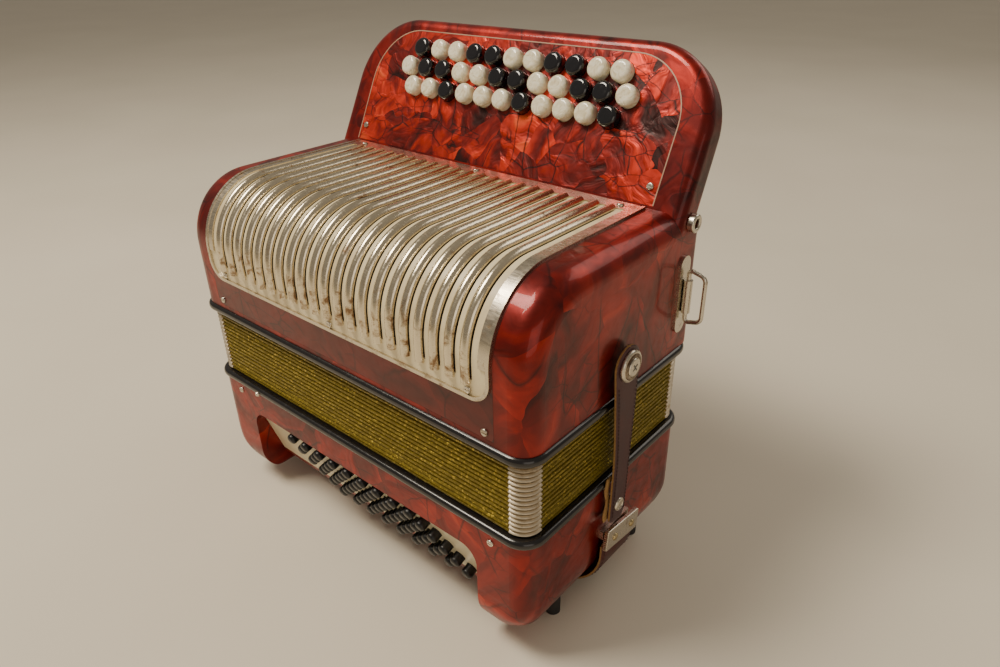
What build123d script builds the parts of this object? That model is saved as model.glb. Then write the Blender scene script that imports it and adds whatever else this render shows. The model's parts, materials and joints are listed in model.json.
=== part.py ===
from build123d import *
import os
from math import cos, radians, sin, sqrt, tan

os.makedirs("parts", exist_ok=True)

# Chromatic button accordion standing on its bass feet, bellows closed.
# X runs along the rows of treble buttons, -Y is the grille side, +Y the player's side, +Z is up.
# All sizes are in millimetres and all angles in degrees.

# Casings
body_length = 340.0
body_depth = 186.0
body_mid_y = -18.96
corner_r = 15.0
back_corner_r = 8.0
wall = 5.0
fit_gap = 0.15
clear = 6.0

# Heights above the surface that the feet stand on
skid_z = 8.0
underside_z = 24.0
bass_top_z = 102.9
trim_height = 7.0
bellows_height = 56.6
treble_height = 101.0

# Bass casing: rounded skids at both ends, and a sloping button plate between them
end_round_r = 40.0
front_round_r = 30.0
gap_half_width = 127.0
gap_top_z = 80.0
gap_corner_r = 14.0
skid_inner_r = 10.0
bass_plate_lean = 17.6
bass_plate_thickness = 3.0
bass_steps = 7
cavity_slope = 25.0
gap_edge_r = 2.0

# Treble casing: bend of the grille, and the keyboard that leans back
bend_r = 50.0
bend_cuts = (0, 30, 60, 90)
board_lean = 27.1
board_thickness = 25.0
board_top_s = 109.0
board_junction_y = 64.8
board_half_base = 170.0
board_half_top = 167.0
board_corner_r = 57.0
board_edge_r = 7.5
board_buried = 20.0
board_cavity_inset = 8.0
board_cavity_depth = 16.0
soundboard = 6.0
cover_ledge = 8.0

# Button panel let into the keyboard
panel_half_width = 147.0
panel_low_s = 1.8
panel_top_s = 98.3
panel_corner_r = 44.0
panel_thickness = 2.5
panel_ledge = 4.0

# Treble buttons: three rows, low, middle and top
button_pitch = 18.99
button_rows = {"low": (11, 52.9), "middle": (12, 68.4), "top": (11, 83.9)}
button_mid_x = 1.15
button_diameter = 15.4
button_proud = 7.6
button_depth = 7.0
button_edge_r = 3.2
button_hole_gap = 0.35
stem_r = 2.5
stem_length = 5.0

# Bass buttons: six slanting rows of nine
bass_rows = 6
bass_columns = 9
bass_pitch = 17.2
bass_row_shift = 8.6
bass_row_pitch = 8.4
bass_first_x = -77.0
bass_first_s = 5.8
bass_note_rows = 2
bass_button_diameter = 9.0
bass_button_proud = 8.0
bass_button_depth = 6.0
bass_button_edge_r = 2.6
bass_hole_gap = 0.25

# Grille
cover_half_width = 144.8
cover_thickness = 3.0
cover_low_z = 177.0
cover_back_gap = 1.8
frame_half_width = 143.5
frame_low_z = 201.0
frame_rim = 2.5
frame_proud = 1.6
frame_corner_r = 15.0
border_width = 8.5
border_proud = 1.1
border_low_z = 224.0
back_strip_depth = 12.0
plate_thickness = 1.2
bar_count = 21
bar_pitch = 12.5
bar_width = 6.5
bar_height = 3.2
slot_width = 9.0
bar_low_z = 210.5
slot_end_margin = 3.0
plate_ledge = 8.0

# Bellows
bellows_inset = 2.5
bellows_wall = 14.0
fold_count = 16
fold_step_in = 2.6
trim_proud = 2.5

# Bellows straps, one on each end
strap_y = -1.0
strap_stud_z = 198.0
strap_low_z = 72.0
strap_snap_z = 86.0
strap_inner_x = 174.0
leather = 3.2
strap_top_r = 13.5
strap_width = 18.5
strap_taper = 70.0
strap_corner_r = 3.0
strap_edge_r = 1.0
snap_r = 5.5
snap_proud = 2.2
snap_stud_r = 4.5
stud_post_r = 3.5
stud_dome_r = 11.0
stud_dome_height = 2.4
stud_dome_edge_r = 1.8
stud_cap_r = 6.3
stud_cap_height = 1.4
stud_cap_edge_r = 1.0
stud_gap = 0.3

# Shoulder strap brackets, one on each end
bracket_y = 72.5
bracket_mid_z = 217.0
bracket_length = 57.0
bracket_width = 13.0
bracket_plate = 1.8
ring_pivot_x = 174.9
ring_wire_r = 1.5
ring_half_height = 19.5
ring_reach = 12.0
ring_corner_r = 5.0
ring_slope = 3.0
ring_bar_half = 2.0
ring_bar_r = 2.5
barrel_r = 3.0
barrel_half_length = 12.0
running_gap = 0.05
eyelet_y = 77.0
eyelet_z = 267.0
eyelet_r = 6.3
eyelet_hole_r = 3.2
eyelet_length = 4.5
eyelet_edge_r = 1.2

# Bass hand strap
hand_strap_y = 5.0
hand_strap_width = 42.0
hand_pad_width = 70.0
hand_pad_half_length = 105.0
hand_strap_thickness = 3.0
hand_strap_gap = 3.0
clamp_width = 41.0
clamp_height = 17.0
clamp_thickness = 3.0
clamp_z = 58.5
clamp_tilt = -7.4
clamp_edge_r = 0.8
clamp_corner_r = 1.5
clamp_block_width = 33.0
clamp_block_height = 7.0
clamp_overlap = 4.0
hand_pad_corner_r = 18.0

# Feet and air button
foot_r = 5.5
foot_x = 153.0
foot_ys = (-42.0, 62.0)
air_button_y = -50.0
air_button_z = 62.0
air_button_r = 6.0
air_button_proud = 6.5
air_button_edge_r = 2.0
air_button_gap = 0.2

# Reed blocks hang from the two soundboards into the bellows
block_length = 250.0
block_depth = 20.0
block_height = 22.0
block_edge_r = 2.0
block_ys = (-45.0, 0.0, 45.0)

# Screws
screw_r = 2.6
screw_height = 1.3
screw_edge_r = 0.9
screw_slot_width = 0.6
screw_slot_depth = 0.45
cover_screw_x = 138.0
frame_screw_x = 126.0
panel_screw = (141.0, 14.0)
top_screw_x = 128.0
bass_screw = (140.0, 96.0)

# Worked-out sizes
half_length = body_length / 2
front_y = body_mid_y - body_depth / 2
back_y = body_mid_y + body_depth / 2
bellows_low_z = bass_top_z + trim_height
bellows_top_z = bellows_low_z + bellows_height
treble_low_z = bellows_top_z + trim_height
treble_top_z = treble_low_z + treble_height
bend_y = front_y + bend_r
bend_z = treble_top_z - bend_r
board_y = body_mid_y + board_junction_y
cover_back_y = board_y - cover_back_gap
lean = radians(board_lean)
board = Plane(origin=(0, board_y, treble_top_z), x_dir=(1, 0, 0), z_dir=(0, -cos(lean), sin(lean)))
bass_lean = radians(bass_plate_lean)
bass_plate_y = front_y + wall
bass_face = Plane(
    origin=(0, bass_plate_y, gap_top_z), x_dir=(1, 0, 0), z_dir=(0, -cos(bass_lean), -sin(bass_lean))
)


def write(piece, name):
    """Label one finished piece and write its STEP file."""
    piece.label = name
    export_step(piece, f"parts/{name}.step")


def plan(z, shrink=0.0, radius=corner_r):
    """Rounded rectangle of the casings' plan at height z, shrunk all round."""
    with BuildSketch(Plane.XY.offset(z)) as outline:
        with Locations((0, body_mid_y)):
            RectangleRounded(body_length - 2 * shrink, body_depth - 2 * shrink, radius)
    return outline.sketch


def wrapped_sheet(half_width, outer, inner, back, low, corner=0.0):
    """Sheet that follows the treble casing's top, bend and front, between two offsets."""
    with BuildPart() as sheet:
        with BuildSketch(Plane.YZ):
            with BuildLine():
                Line((back, bend_z + bend_r + outer), (bend_y, bend_z + bend_r + outer))
                CenterArc((bend_y, bend_z), bend_r + outer, 90, 90)
                Line((front_y - outer, bend_z), (front_y - outer, low))
                Line((front_y - outer, low), (front_y - inner, low))
                Line((front_y - inner, low), (front_y - inner, bend_z))
                CenterArc((bend_y, bend_z), bend_r + inner, 90, 90)
                Line((bend_y, bend_z + bend_r + inner), (back, bend_z + bend_r + inner))
                Line((back, bend_z + bend_r + inner), (back, bend_z + bend_r + outer))
            make_face()
        extrude(amount=half_width, both=True)
        if corner:
            fillet(sheet.edges().filter_by(Axis.Y).group_by(Axis.Z)[0], corner)
    return sheet.part


def board_outline(depth, half_base, half_top, low, top, radius):
    """Keyboard outline with two round upper corners, drawn at a depth below the keyboard's face."""
    with BuildSketch(board.offset(-depth)) as outline:
        with BuildLine():
            Polyline((-half_base, low), (half_base, low), (half_top, top), (-half_top, top), close=True)
        make_face()
        fillet(outline.vertices().group_by(Axis.Y)[-1], radius)
    return outline.sketch


# Treble casing: box with a bent front, the leaning keyboard, the cover's opening and a soundboard
inward = -board.z_dir
up_slope = Axis((0, 0, 0), board.y_dir)
with BuildPart() as keyboard:
    extrude(
        board_outline(0, board_half_base, board_half_top, -board_buried, board_top_s, board_corner_r),
        amount=board_thickness, dir=inward,
    )
    for side in (-1, 0):
        face = keyboard.faces().sort_by(Axis((0, 0, 0), board.z_dir))[side]
        fillet(face.edges().sort_by(up_slope)[1:], board_edge_r)

cover_rebate = wrapped_sheet(
    cover_half_width + fit_gap, clear, -cover_thickness - fit_gap, cover_back_y + fit_gap,
    cover_low_z - fit_gap,
)
cover_opening = wrapped_sheet(
    cover_half_width - cover_ledge, clear, -2 * wall, cover_back_y - cover_ledge, cover_low_z + cover_ledge
)
board_cavity = board_outline(
    wall, board_half_base - board_cavity_inset, board_half_top - board_cavity_inset, -board_buried - clear,
    board_top_s - board_cavity_inset, board_corner_r - board_cavity_inset,
)
panel_seat = board_outline(
    0, panel_half_width + fit_gap, panel_half_width + fit_gap, panel_low_s - fit_gap,
    panel_top_s + fit_gap, panel_corner_r + fit_gap,
)
panel_opening = board_outline(
    0, panel_half_width - panel_ledge, panel_half_width - panel_ledge, panel_low_s + panel_ledge,
    panel_top_s - panel_ledge, panel_corner_r - panel_ledge,
)
with BuildPart() as treble_casing:
    with BuildSketch(Plane.YZ):
        with BuildLine():
            Line((back_y, treble_top_z), (bend_y, treble_top_z))
            CenterArc((bend_y, bend_z), bend_r, 90, 90)
            Polyline(
                (front_y, bend_z), (front_y, treble_low_z), (back_y, treble_low_z), (back_y, treble_top_z)
            )
        make_face()
    extrude(amount=half_length, both=True)
    end_faces = treble_casing.faces().filter_by(Axis.X)
    bent_edges = [
        edge for edge in end_faces.edges()
        if edge.center().Z > treble_low_z + 1 and edge.center().Y < back_y - 1
    ]
    fillet(bent_edges, corner_r)
    fillet(treble_casing.edges().filter_by(Axis.Z).group_by(Axis.Y)[-1], back_corner_r)
    add(keyboard.part)
    with BuildSketch(Plane.YZ):
        with BuildLine():
            Line((back_y - wall, treble_top_z - wall), (bend_y, treble_top_z - wall))
            CenterArc((bend_y, bend_z), bend_r - wall, 90, 90)
            Polyline(
                (front_y + wall, bend_z), (front_y + wall, treble_low_z + soundboard),
                (back_y - wall, treble_low_z + soundboard), (back_y - wall, treble_top_z - wall),
            )
        make_face()
    extrude(amount=half_length - 2 * wall, both=True, mode=Mode.SUBTRACT)
    extrude(board_cavity, amount=board_cavity_depth, dir=inward, mode=Mode.SUBTRACT)
    add(cover_rebate, mode=Mode.SUBTRACT)
    add(cover_opening, mode=Mode.SUBTRACT)
    extrude(panel_seat, amount=panel_thickness, dir=inward, mode=Mode.SUBTRACT)
    extrude(panel_opening, amount=2 * wall, dir=inward, mode=Mode.SUBTRACT)
write(treble_casing.part, "treble_casing")

# Button panel with a round hole for each treble button
row_places = {}
for row_name, (count, row_s) in button_rows.items():
    first_x = button_mid_x - button_pitch * (count - 1) / 2
    row_places[row_name] = [(first_x + button_pitch * i, row_s) for i in range(count)]
with BuildPart() as button_panel:
    extrude(
        board_outline(0, panel_half_width, panel_half_width, panel_low_s, panel_top_s, panel_corner_r),
        amount=panel_thickness, dir=inward,
    )
    with BuildSketch(board):
        for places in row_places.values():
            with Locations(*places):
                Circle(button_diameter / 2 + button_hole_gap)
    extrude(amount=-panel_thickness, mode=Mode.SUBTRACT)
write(button_panel.part, "button_panel")

# One treble button: a domed cap, with its stem below the panel
with BuildPart() as treble_cap:
    with Locations((0, 0, -button_depth)):
        Cylinder(
            button_diameter / 2, button_depth + button_proud, align=(Align.CENTER, Align.CENTER, Align.MIN)
        )
    fillet(treble_cap.edges().group_by(Axis.Z)[-1], button_edge_r)
    with Locations((0, 0, -button_depth)):
        Cylinder(stem_r, stem_length, align=(Align.CENTER, Align.CENTER, Align.MAX))
for row_name, places in row_places.items():
    for number, place in enumerate(places, start=1):
        with BuildPart() as treble_button:
            with Locations(board):
                with Locations(place):
                    add(treble_cap.part)
        write(treble_button.part, f"treble_button_{row_name}_{number:02d}")

# Grille: removable cover, pressed plate with slots, half-round bars and a metal frame
def cut_at_bend(part):
    """The part in straight lengths and short arcs, cut through the axis of the grille's bend."""
    pieces = [part]
    for angle in bend_cuts:
        cutter = Plane(
            origin=(0, bend_y, bend_z), x_dir=(1, 0, 0), z_dir=(0, -sin(radians(angle)), cos(radians(angle)))
        )
        pieces = [half for piece in pieces for half in split_in_two(piece, cutter)]
    return Compound(children=[solid for piece in pieces for solid in piece.solids()])


def split_in_two(part, cutter):
    """The one or two sides of a part that a plane leaves."""
    halves = [
        split(part, bisect_by=cutter, keep=keep, mode=Mode.PRIVATE) for keep in (Keep.TOP, Keep.BOTTOM)
    ]
    return [half for half in halves if half and half.volume > 1e-3]


plate_half = frame_half_width - frame_rim
plate_low_z = frame_low_z + frame_rim
plate_corner_r = frame_corner_r - frame_rim
bar_xs = [(i - (bar_count - 1) / 2) * bar_pitch for i in range(bar_count)]
bar_back_y = cover_back_y - back_strip_depth
slot_back_y = bar_back_y - slot_end_margin
slot_low_z = bar_low_z + slot_end_margin
cover_sheet = wrapped_sheet(cover_half_width, 0, -cover_thickness, cover_back_y, cover_low_z)
plate_recess = wrapped_sheet(
    plate_half, clear, -plate_thickness, cover_back_y + clear, plate_low_z, plate_corner_r
)
sound_opening = wrapped_sheet(plate_half - plate_ledge, clear, -wall, slot_back_y, slot_low_z)
with BuildPart() as grille_cover:
    add(cover_sheet)
    add(plate_recess, mode=Mode.SUBTRACT)
    add(sound_opening, mode=Mode.SUBTRACT)
write(grille_cover.part, "grille_cover")

one_slot = wrapped_sheet(slot_width / 2, clear, -wall, slot_back_y, slot_low_z)
plate_sheet = wrapped_sheet(plate_half, 0, -plate_thickness, cover_back_y, plate_low_z, plate_corner_r)
with BuildPart() as grille_plate:
    add(plate_sheet)
    with Locations(*[(x, 0, 0) for x in bar_xs]):
        add(one_slot, mode=Mode.SUBTRACT)
write(cut_at_bend(grille_plate.part), "grille_plate")

with BuildPart() as one_bar:
    with BuildLine(Plane.YZ) as bar_path:
        Line((bar_back_y, treble_top_z), (bend_y, treble_top_z))
        CenterArc((bend_y, bend_z), bend_r, 90, 90)
        Line((front_y, bend_z), (front_y, bar_low_z))
    with BuildSketch(Plane(origin=bar_path.line @ 0, x_dir=(1, 0, 0), z_dir=bar_path.line % 0)):
        Ellipse(bar_width / 2, bar_height)
        with Locations((0, -bar_height)):
            Rectangle(bar_width, 2 * bar_height, mode=Mode.SUBTRACT)
    sweep(path=bar_path.line)
with BuildPart() as grille_bars:
    with Locations(*[(x, 0, 0) for x in bar_xs]):
        add(one_bar.part)
write(cut_at_bend(grille_bars.part), "grille_bars")

rim_sheet = wrapped_sheet(frame_half_width, frame_proud, 0, cover_back_y, frame_low_z, frame_corner_r)
rim_inside = wrapped_sheet(plate_half, clear, -1, cover_back_y + clear, plate_low_z, plate_corner_r)
border_half = frame_half_width - border_width
border_sheet = wrapped_sheet(plate_half, border_proud, 0, cover_back_y, border_low_z)
border_inside = wrapped_sheet(border_half, clear, -1, bar_back_y, border_low_z - clear)
with BuildPart() as grille_frame:
    add(rim_sheet)
    add(rim_inside, mode=Mode.SUBTRACT)
    add(border_sheet)
    add(border_inside, mode=Mode.SUBTRACT)
write(grille_frame.part, "grille_frame")

# Bellows: a hollow stack of folds between two frames with half-round edges
def ring(low, height, out_shrink, in_shrink, radius):
    """Rounded rectangular ring of the casings' plan."""
    with BuildPart() as band:
        extrude(plan(low, out_shrink, radius), amount=height)
        extrude(plan(low, in_shrink, radius), amount=height, mode=Mode.SUBTRACT)
    return band.part


fold_pitch = bellows_height / fold_count
with BuildPart() as bellows:
    for i in range(fold_count):
        fold_z = bellows_low_z + i * fold_pitch
        add(ring(fold_z, fold_pitch / 2, bellows_inset, bellows_inset + bellows_wall, corner_r - 2))
        add(
            ring(
                fold_z + fold_pitch / 2, fold_pitch / 2, bellows_inset + fold_step_in,
                bellows_inset + bellows_wall, corner_r - 4,
            )
        )
write(bellows.part, "bellows")

for name, low in (("bass_bellows_frame", bass_top_z), ("treble_bellows_frame", bellows_top_z)):
    with BuildPart() as bellows_frame:
        add(ring(low, trim_height, -trim_proud, 2 * wall, corner_r + trim_proud))
        outer_edges = bellows_frame.edges().filter_by(
            lambda edge: edge.center().X ** 2 > (half_length - 2) ** 2
            or abs(edge.center().Y - body_mid_y) > body_depth / 2 - 2
        )
        rim_edges = outer_edges.filter_by(lambda edge: abs(edge.tangent_at(0.5).Z) < 0.1)
        fillet(rim_edges, trim_height / 2 - 0.3)
    write(bellows_frame.part, name)

# Bass casing: soft-cornered box with skids at both ends and a sloping front recess
def skid_gap(top, radius):
    """Opening between the skids, seen from the front, with rounded inner feet."""
    knee = skid_inner_r * cos(radians(45))
    centre_x = gap_half_width + skid_inner_r
    centre_z = skid_z + skid_inner_r
    with BuildSketch(Plane.XZ) as gap:
        with BuildLine():
            for side in (-1, 1):
                Line((side * centre_x, -5), (side * centre_x, skid_z))
                ThreePointArc(
                    (side * centre_x, skid_z), (side * (centre_x - knee), centre_z - knee),
                    (side * gap_half_width, centre_z),
                )
                Line((side * gap_half_width, centre_z), (side * gap_half_width, top))
            Line((-gap_half_width, top), (gap_half_width, top))
            Line((-centre_x, -5), (centre_x, -5))
        make_face()
        fillet(gap.vertices().group_by(Axis.Y)[-1], radius)
    return gap.sketch


base_z = skid_z + end_round_r
cavity_low_z = underside_z + wall
plate_back_y = bass_plate_y + (gap_top_z - cavity_low_z) * tan(bass_lean)
plate_foot_y = bass_plate_y + (gap_top_z - underside_z) * tan(bass_lean)
with BuildPart() as front_recess:
    with BuildSketch(Plane.YZ):
        Polygon(
            (front_y - 10, gap_top_z), (bass_plate_y, gap_top_z), (plate_foot_y, underside_z),
            (plate_foot_y, -5), (front_y - 10, -5), align=None,
        )
    extrude(amount=half_length, both=True)
    extrude(skid_gap(gap_top_z, gap_corner_r), amount=body_depth, both=True, mode=Mode.INTERSECT)

with BuildPart() as bass_casing:
    with BuildSketch(Plane.XY.offset(base_z)):
        with Locations((0, body_mid_y)):
            RectangleRounded(body_length, body_depth, corner_r)
    extrude(amount=bass_top_z - base_z)
    for i in range(bass_steps + 1):
        angle = radians(90 * i / bass_steps)
        level = base_z - end_round_r * sin(angle)
        end_inset = end_round_r * (1 - cos(angle))
        front_drop = max(0.0, skid_z + front_round_r - level)
        front_inset = front_round_r - sqrt(front_round_r ** 2 - min(front_drop, front_round_r) ** 2)
        low_length = body_length - 2 * end_inset
        low_depth = body_depth - end_inset - front_inset
        with BuildSketch(Plane.XY.offset(level)):
            with Locations((0, body_mid_y + (front_inset - end_inset) / 2)):
                RectangleRounded(low_length, low_depth, corner_r + 0.5 * end_inset)
    loft()
    extrude(skid_gap(underside_z, gap_edge_r), amount=body_depth, both=True, mode=Mode.SUBTRACT)
    add(front_recess.part, mode=Mode.SUBTRACT)
    cavity_half = half_length - wall
    with BuildSketch(Plane.YZ):
        Polygon(
            (bass_plate_y, gap_top_z), (plate_back_y, cavity_low_z),
            (back_y - wall - cavity_slope, cavity_low_z), (back_y - wall, cavity_low_z + cavity_slope),
            (back_y - wall, bass_top_z - soundboard),
            (bass_plate_y, bass_top_z - soundboard), align=None,
        )
    extrude(amount=gap_half_width, both=True, mode=Mode.SUBTRACT)
    with BuildSketch(Plane.XY.offset(base_z)):
        with Locations((0, (plate_foot_y + wall + back_y - wall) / 2)):
            Rectangle(2 * cavity_half, back_y - plate_foot_y - 2 * wall)
    extrude(amount=bass_top_z - soundboard - base_z, mode=Mode.SUBTRACT)
    with BuildSketch(Plane.YZ.offset(-half_length)):
        with Locations((air_button_y + body_mid_y, air_button_z)):
            Circle(air_button_r + air_button_gap)
    extrude(amount=2 * wall, mode=Mode.SUBTRACT)
write(bass_casing.part, "bass_casing")

# Bass button plate and its two groups of buttons
bass_places = [
    [(bass_first_x + bass_pitch * i + bass_row_shift * row, -bass_first_s - bass_row_pitch * row)
     for i in range(bass_columns)]
    for row in range(bass_rows)
]
plate_length = (gap_top_z - cavity_low_z) / cos(bass_lean)
with BuildPart() as bass_button_plate:
    with BuildSketch(bass_face):
        with Locations((0, -plate_length / 2)):
            Rectangle(2 * (gap_half_width - fit_gap), plate_length - 2 * fit_gap)
        for places in bass_places:
            with Locations(*places):
                Circle(bass_button_diameter / 2 + bass_hole_gap, mode=Mode.SUBTRACT)
    extrude(amount=-bass_plate_thickness)
write(bass_button_plate.part, "bass_button_plate")

with BuildPart() as bass_cap:
    Cylinder(
        bass_button_diameter / 2, bass_button_proud + bass_button_depth,
        align=(Align.CENTER, Align.CENTER, Align.MIN),
    )
    fillet(bass_cap.edges().group_by(Axis.Z)[-1], bass_button_edge_r)
with BuildPart() as bass_note_buttons:
    with Locations(bass_face.offset(-bass_button_depth)):
        for places in bass_places[:bass_note_rows]:
            with Locations(*places):
                add(bass_cap.part)
write(bass_note_buttons.part, "bass_note_buttons")
with BuildPart() as bass_chord_buttons:
    with Locations(bass_face.offset(-bass_button_depth)):
        for places in bass_places[bass_note_rows:]:
            with Locations(*places):
                add(bass_cap.part)
write(bass_chord_buttons.part, "bass_chord_buttons")

with BuildPart() as air_button:
    with BuildSketch(Plane.YZ.offset(-half_length + wall)):
        with Locations((air_button_y + body_mid_y, air_button_z)):
            Circle(air_button_r)
    extrude(amount=-wall - air_button_proud)
    fillet(air_button.edges().group_by(Axis.X)[0], air_button_edge_r)
write(air_button.part, "air_button")

# Reed blocks
for name, low in (
    ("bass_reed_blocks", bass_top_z), ("treble_reed_blocks", treble_low_z - block_height),
):
    with BuildPart() as reed_blocks:
        with BuildSketch(Plane.XY.offset(low)):
            with Locations(*[(0, body_mid_y + offset) for offset in block_ys]):
                Rectangle(block_length, block_depth)
        extrude(amount=block_height)
        fillet(reed_blocks.edges().filter_by(Axis.X), block_edge_r)
    write(reed_blocks.part, name)

# Feet, cut to the round of the skids
with BuildPart() as bass_feet:
    for foot_y in foot_ys:
        with BuildSketch():
            with Locations((-foot_x, foot_y + body_mid_y), (foot_x, foot_y + body_mid_y)):
                Circle(foot_r)
        extrude(amount=underside_z)
    add(bass_casing.part, mode=Mode.SUBTRACT)
write(bass_feet.part, "bass_feet")


def on_both_ends(part):
    """The part and its mirror image on the other end of the instrument."""
    return [part, mirror(part, about=Plane.YZ, mode=Mode.PRIVATE)]


# Bellows straps: leather with a round top on a domed stud, and a snap near the low end
with BuildPart() as bellows_strap:
    with BuildSketch(Plane.YZ.offset(strap_inner_x)) as strap_face:
        with Locations((strap_y + body_mid_y, strap_stud_z)):
            Circle(strap_top_r)
        with BuildLine():
            mid = strap_y + body_mid_y
            half = strap_width / 2
            Polyline(
                (mid - strap_top_r, strap_stud_z), (mid - half, strap_stud_z - strap_taper),
                (mid - half, strap_low_z), (mid + half, strap_low_z),
                (mid + half, strap_stud_z - strap_taper), (mid + strap_top_r, strap_stud_z), close=True,
            )
        make_face()
        fillet(strap_face.vertices().group_by(Axis.Y)[0], strap_corner_r)
        with Locations((strap_y + body_mid_y, strap_stud_z)):
            Circle(stud_post_r + running_gap, mode=Mode.SUBTRACT)
    extrude(amount=leather)
    with BuildSketch(Plane.YZ.offset(strap_inner_x + leather)):
        with Locations((strap_y + body_mid_y, strap_snap_z)):
            Circle(snap_r)
    extrude(amount=snap_proud)
    fillet(bellows_strap.edges().group_by(Axis.X)[-1], strap_edge_r)
for name, strap in zip(("bellows_strap_right", "bellows_strap_left"), on_both_ends(bellows_strap.part)):
    write(strap, name)

# Shoulder strap brackets: plate with a barrel, and a D-ring whose back bar turns in it
with BuildPart() as one_bracket:
    with BuildSketch(Plane.YZ.offset(half_length)):
        with Locations((bracket_y + body_mid_y, bracket_mid_z)):
            SlotOverall(bracket_length, bracket_width, rotation=90)
    extrude(amount=bracket_plate)
    with BuildSketch(Plane.XY.offset(bracket_mid_z - barrel_half_length)):
        with Locations((ring_pivot_x, bracket_y + body_mid_y)):
            Circle(barrel_r)
            Circle(ring_wire_r + running_gap, mode=Mode.SUBTRACT)
    extrude(amount=2 * barrel_half_length)
with BuildPart() as strap_bracket_plates:
    for piece in on_both_ends(one_bracket.part):
        add(piece)
write(strap_bracket_plates.part, "strap_bracket_plates")

with BuildPart() as d_ring:
    ring_plane = Plane(
        origin=(ring_pivot_x, bracket_y + body_mid_y, bracket_mid_z), x_dir=(1, 0, 0), z_dir=(0, -1, 0)
    )
    with BuildLine(ring_plane) as ring_path:
        FilletPolyline(
            (0, ring_bar_half), (0, ring_half_height), (ring_reach, ring_half_height - ring_slope),
            (ring_reach, ring_slope - ring_half_height), (0, -ring_half_height), (0, -ring_bar_half),
            radius=[ring_bar_r, ring_corner_r, ring_corner_r, ring_bar_r],
        )
    with BuildSketch(Plane(origin=ring_path.line @ 0, x_dir=(1, 0, 0), z_dir=ring_path.line % 0)):
        Circle(ring_wire_r)
    sweep(path=ring_path.line)
    with BuildSketch(Plane.XY.offset(bracket_mid_z - ring_bar_half)):
        with Locations((ring_pivot_x, bracket_y + body_mid_y)):
            Circle(ring_wire_r)
    extrude(amount=2 * ring_bar_half)
for name, ring_part in zip(("d_ring_right", "d_ring_left"), on_both_ends(d_ring.part)):
    write(ring_part, name)

# Hand strap under the bass side, with its clamp plates on both ends
hug_r = end_round_r + hand_strap_gap
hug_x = half_length - end_round_r
with BuildPart() as bass_strap:
    with BuildSketch(Plane.XZ.offset(hand_strap_width / 2 - hand_strap_y - body_mid_y)):
        with BuildLine():
            for outer in (0, hand_strap_thickness):
                side_x = hug_x + hug_r + outer
                low = base_z - hug_r - outer
                Line((side_x, clamp_z - clamp_overlap), (side_x, base_z))
                CenterArc((hug_x, base_z), hug_r + outer, 0, -90)
                Line((hug_x, low), (-hug_x, low))
                CenterArc((-hug_x, base_z), hug_r + outer, -90, -90)
                Line((-side_x, base_z), (-side_x, clamp_z - clamp_overlap))
            for side in (-1, 1):
                Line(
                    (side * (hug_x + hug_r), clamp_z - clamp_overlap),
                    (side * (hug_x + hug_r + hand_strap_thickness), clamp_z - clamp_overlap),
                )
        make_face()
    extrude(amount=-hand_strap_width)
    with BuildSketch(Plane.XY.offset(base_z - hug_r - hand_strap_thickness)):
        with Locations((0, hand_strap_y + body_mid_y)):
            RectangleRounded(2 * hand_pad_half_length, hand_pad_width, hand_pad_corner_r)
    extrude(amount=hand_strap_thickness)
write(bass_strap.part, "bass_strap")

with BuildPart() as one_clamp:
    clamp_plane = Plane(
        origin=(hug_x + hug_r + hand_strap_thickness, hand_strap_y + body_mid_y, clamp_z),
        x_dir=(0, cos(radians(clamp_tilt)), sin(radians(clamp_tilt))), z_dir=(1, 0, 0),
    )
    with BuildSketch(clamp_plane):
        RectangleRounded(clamp_width, clamp_height, clamp_corner_r)
    extrude(amount=clamp_thickness)
    fillet(one_clamp.edges().group_by(Axis.X)[-1], clamp_edge_r)
    with BuildSketch(Plane.YZ.offset(half_length)):
        with Locations((hand_strap_y + body_mid_y, clamp_z + 2)):
            Rectangle(clamp_block_width, clamp_block_height)
    extrude(amount=hand_strap_gap - fit_gap)
with BuildPart() as bass_strap_clamps:
    for piece in on_both_ends(one_clamp.part):
        add(piece)
write(bass_strap_clamps.part, "bass_strap_clamps")

# Small fasteners: domed screw heads, the straps' domed studs and the hollow end studs
with BuildPart() as screw_head:
    Cylinder(screw_r, screw_height, align=(Align.CENTER, Align.CENTER, Align.MIN))
    fillet(screw_head.edges().group_by(Axis.Z)[-1], screw_edge_r)
    with Locations((0, 0, screw_height)):
        Box(2 * screw_r, screw_slot_width, 2 * screw_slot_depth, mode=Mode.SUBTRACT)
front_low = Plane(origin=(0, front_y, 0), x_dir=(1, 0, 0), z_dir=(0, -1, 0))
with BuildPart() as end_stud:
    with BuildSketch(Plane.YZ.offset(half_length)):
        with Locations((eyelet_y + body_mid_y, eyelet_z)):
            Circle(eyelet_r)
            Circle(eyelet_hole_r, mode=Mode.SUBTRACT)
    extrude(amount=eyelet_length)
    fillet(end_stud.edges().group_by(Axis.X)[-1], eyelet_edge_r)
with BuildPart() as strap_stud:
    with BuildSketch(Plane.YZ.offset(half_length)):
        with Locations((strap_y + body_mid_y, strap_stud_z)):
            Circle(stud_post_r)
    extrude(amount=strap_inner_x + leather + stud_gap - half_length)
    with BuildSketch(Plane.YZ.offset(strap_inner_x + leather + stud_gap)):
        with Locations((strap_y + body_mid_y, strap_stud_z)):
            Circle(stud_dome_r)
    extrude(amount=stud_dome_height)
    fillet(strap_stud.edges().group_by(Axis.X)[-1], stud_dome_edge_r)
    with BuildSketch(Plane.YZ.offset(strap_inner_x + leather + stud_gap + stud_dome_height)):
        with Locations((strap_y + body_mid_y, strap_stud_z)):
            Circle(stud_cap_r)
    extrude(amount=stud_cap_height)
    fillet(strap_stud.edges().group_by(Axis.X)[-1], stud_cap_edge_r)

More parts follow.
